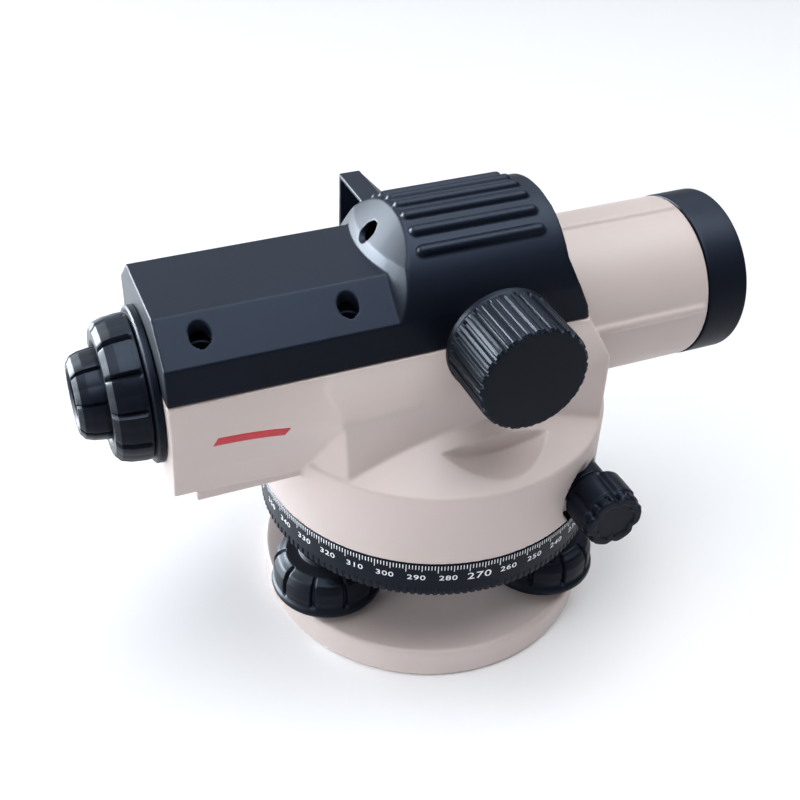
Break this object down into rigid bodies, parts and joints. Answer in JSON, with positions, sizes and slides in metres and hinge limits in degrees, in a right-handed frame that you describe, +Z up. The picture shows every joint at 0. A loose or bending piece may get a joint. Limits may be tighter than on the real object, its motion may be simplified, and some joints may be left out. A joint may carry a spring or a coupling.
{
  "type": "automatic level",
  "caption": "Surveying telescope with a self-levelling line of sight, rotating on a graduated horizontal circle above a round base with three levelling screws.",
  "frame": {"origin": "centre of the whole instrument's footprint box, on the underside of the base; the standing axis is at x = 0.0079, y = 0", "axes": "+Z up along the standing axis, +X along the line of sight towards the objective, +Y to the left of the observer"},
  "size_m": [0.215, 0.128, 0.1497],
  "materials": {
    "cream_paint": "smooth satin cream enamel, slightly pinkish beige",
    "black_plastic": "moulded blue-black plastic, semi-matt",
    "steel": "turned bright steel",
    "brass": "turned brass, plain",
    "aluminium": "machined aluminium",
    "dark_metal": "black anodised metal",
    "lens_glass": "polished coated optical glass",
    "vial": "clear vial with yellow-green liquid",
    "mirror": "silvered flat mirror"
  },
  "bodies": {
    "base": {"base_plate": "cream_paint", "spring_plate": "steel", "ball_cup_left": "brass", "ball_cup_right": "brass"},
    "rear_cup": {"ball_cup_rear": "brass"},
    "tribrach": {"tribrach": "aluminium", "spindle": "steel", "spindle_nut": "steel"},
    "circle": {"horizontal_circle": "black_plastic"},
    "worm_wheel": {"worm_wheel": "brass"},
    "focus_drive": {"focus_knob": "black_plastic", "focus_shaft": "steel"},
    "focus_carriage": {"focus_carriage": "brass", "focusing_lens": "lens_glass"},
    "tangent_drive": {"tangent_shaft": "steel", "tangent_knob_right": "black_plastic", "tangent_knob_left": "black_plastic"},
    "eyepiece_slide": {"eyepiece_barrel": "dark_metal", "eye_lens": "lens_glass", "field_lens": "lens_glass"},
    "diopter": {"diopter_ring": "black_plastic"},
    "pendulum": {"compensator_pendulum": "aluminium", "swinging_prism": "lens_glass", "suspension_wire_right": "steel", "suspension_wire_left": "steel"},
    "stud_left": {"levelling_stud_left": "steel"},
    "knob_left": {"levelling_knob_left": "black_plastic"},
    "stud_right": {"levelling_stud_right": "steel"},
    "knob_right": {"levelling_knob_right": "black_plastic"},
    "stud_rear": {"levelling_stud_rear": "steel"},
    "knob_rear": {"levelling_knob_rear": "black_plastic"},
    "head": {"main_housing": "cream_paint", "bubble_screw_1": "steel", "bubble_screw_2": "steel", "bubble_screw_3": "steel", "bearing_sleeve": "brass", "focus_bush": "brass", "reticle_cell": "brass", "drum_plate": "aluminium", "compensator_frame": "aluminium", "eyepiece_body": "aluminium", "top_cover": "black_plastic", "objective_ring": "black_plastic", "eyepiece_flange": "black_plastic", "eyepiece_cover": "black_plastic", "bubble_case": "black_plastic", "tangent_bush_right": "black_plastic", "tangent_bush_left": "black_plastic", "objective_retainer": "dark_metal", "damping_magnet": "dark_metal", "cover_screw_1": "dark_metal", "cover_screw_2": "dark_metal", "cover_screw_3": "dark_metal", "cover_screw_4": "dark_metal", "objective_lens": "lens_glass", "front_prism": "lens_glass", "rear_prism": "lens_glass", "reticle_glass": "lens_glass", "bubble_vial": "vial", "bubble_mirror": "mirror"}
  },
  "joints": [
    {"name": "tilt_side", "type": "hinge", "parent": "base", "child": "rear_cup", "pos_m": [0.01735, 0.04195, 0.0085], "axis": [0.2198, 0.9755, 0], "range_deg": [-3.02, 3.02]},
    {"name": "tilt_fore_aft", "type": "hinge", "parent": "rear_cup", "child": "tribrach", "pos_m": [0.00318, -0.02098, 0.0085], "axis": [0.9755, -0.2198, 0], "range_deg": [-1.74, 1.74]},
    {"name": "stud_slide_left", "type": "slide", "parent": "tribrach", "child": "stud_left", "axis": [0, 0, 1], "range_m": [-0.002, 0.002]},
    {"name": "knob_turn_left", "type": "hinge", "parent": "stud_left", "child": "knob_left", "pos_m": [-0.03315, -0.01279, 0.022], "axis": [0, 0, 1], "range_deg": [-720, 720]},
    {"name": "stud_slide_right", "type": "slide", "parent": "tribrach", "child": "stud_right", "axis": [0, 0, 1], "range_m": [-0.002, 0.002]},
    {"name": "knob_turn_right", "type": "hinge", "parent": "stud_right", "child": "knob_right", "pos_m": [0.0395, -0.02916, 0.022], "axis": [0, 0, 1], "range_deg": [-720, 720]},
    {"name": "stud_slide_rear", "type": "slide", "parent": "tribrach", "child": "stud_rear", "axis": [0, 0, 1], "range_m": [-0.002, 0.002]},
    {"name": "knob_turn_rear", "type": "hinge", "parent": "stud_rear", "child": "knob_rear", "pos_m": [0.01735, 0.04195, 0.022], "axis": [0, 0, 1], "range_deg": [-720, 720]},
    {"name": "circle_turn", "type": "hinge", "parent": "tribrach", "child": "circle", "pos_m": [0.0079, 0, 0.045], "axis": [0, 0, 1], "continuous": true},
    {"name": "head_turn", "type": "hinge", "parent": "tribrach", "child": "head", "pos_m": [0.0079, 0, 0.07], "axis": [0, 0, 1], "continuous": true},
    {"name": "focus_turn", "type": "hinge", "parent": "head", "child": "focus_drive", "pos_m": [0.0118, -0.04, 0.1195], "axis": [0, -1, 0], "range_deg": [-180, 180]},
    {"name": "focus_slide", "type": "slide", "parent": "head", "child": "focus_carriage", "axis": [1, 0, 0], "range_m": [-0.0095, 0.0095]},
    {"name": "tangent_turn", "type": "hinge", "parent": "head", "child": "tangent_drive", "pos_m": [0.0432, 0, 0.0612], "axis": [0, 1, 0], "continuous": true},
    {"name": "wheel_turn", "type": "hinge", "parent": "head", "child": "worm_wheel", "pos_m": [0.0079, 0, 0.0612], "axis": [0, 0, 1], "continuous": true},
    {"name": "diopter_slide", "type": "slide", "parent": "head", "child": "eyepiece_slide", "axis": [1, 0, 0], "range_m": [-0.0015, 0.0015]},
    {"name": "diopter_turn", "type": "hinge", "parent": "eyepiece_slide", "child": "diopter", "pos_m": [-0.1021, 0, 0.1035], "axis": [1, 0, 0], "range_deg": [-135, 135]},
    {"name": "pendulum_swing", "type": "hinge", "parent": "head", "child": "pendulum", "pos_m": [-0.0341, 0, 0.1077], "axis": [0, 1, 0], "range_deg": [-0.5, 0.5]}
  ],
  "couplings": [
    {"joint": "stud_slide_left", "follows": "tilt_side", "m_per_rad": -0.03723},
    {"joint": "knob_turn_left", "follows": "tilt_side", "ratio": -233.94},
    {"joint": "stud_slide_right", "follows": "tilt_side", "m_per_rad": 0.03724},
    {"joint": "knob_turn_right", "follows": "tilt_side", "ratio": 233.98},
    {"joint": "stud_slide_rear", "follows": "tilt_fore_aft", "m_per_rad": -0.0645},
    {"joint": "knob_turn_rear", "follows": "tilt_fore_aft", "ratio": -405.28},
    {"joint": "focus_slide", "follows": "focus_turn", "m_per_rad": 0.003},
    {"joint": "tangent_turn", "follows": "wheel_turn", "ratio": 120},
    {"joint": "diopter_slide", "follows": "diopter_turn", "m_per_rad": 0.00063}
  ]
}
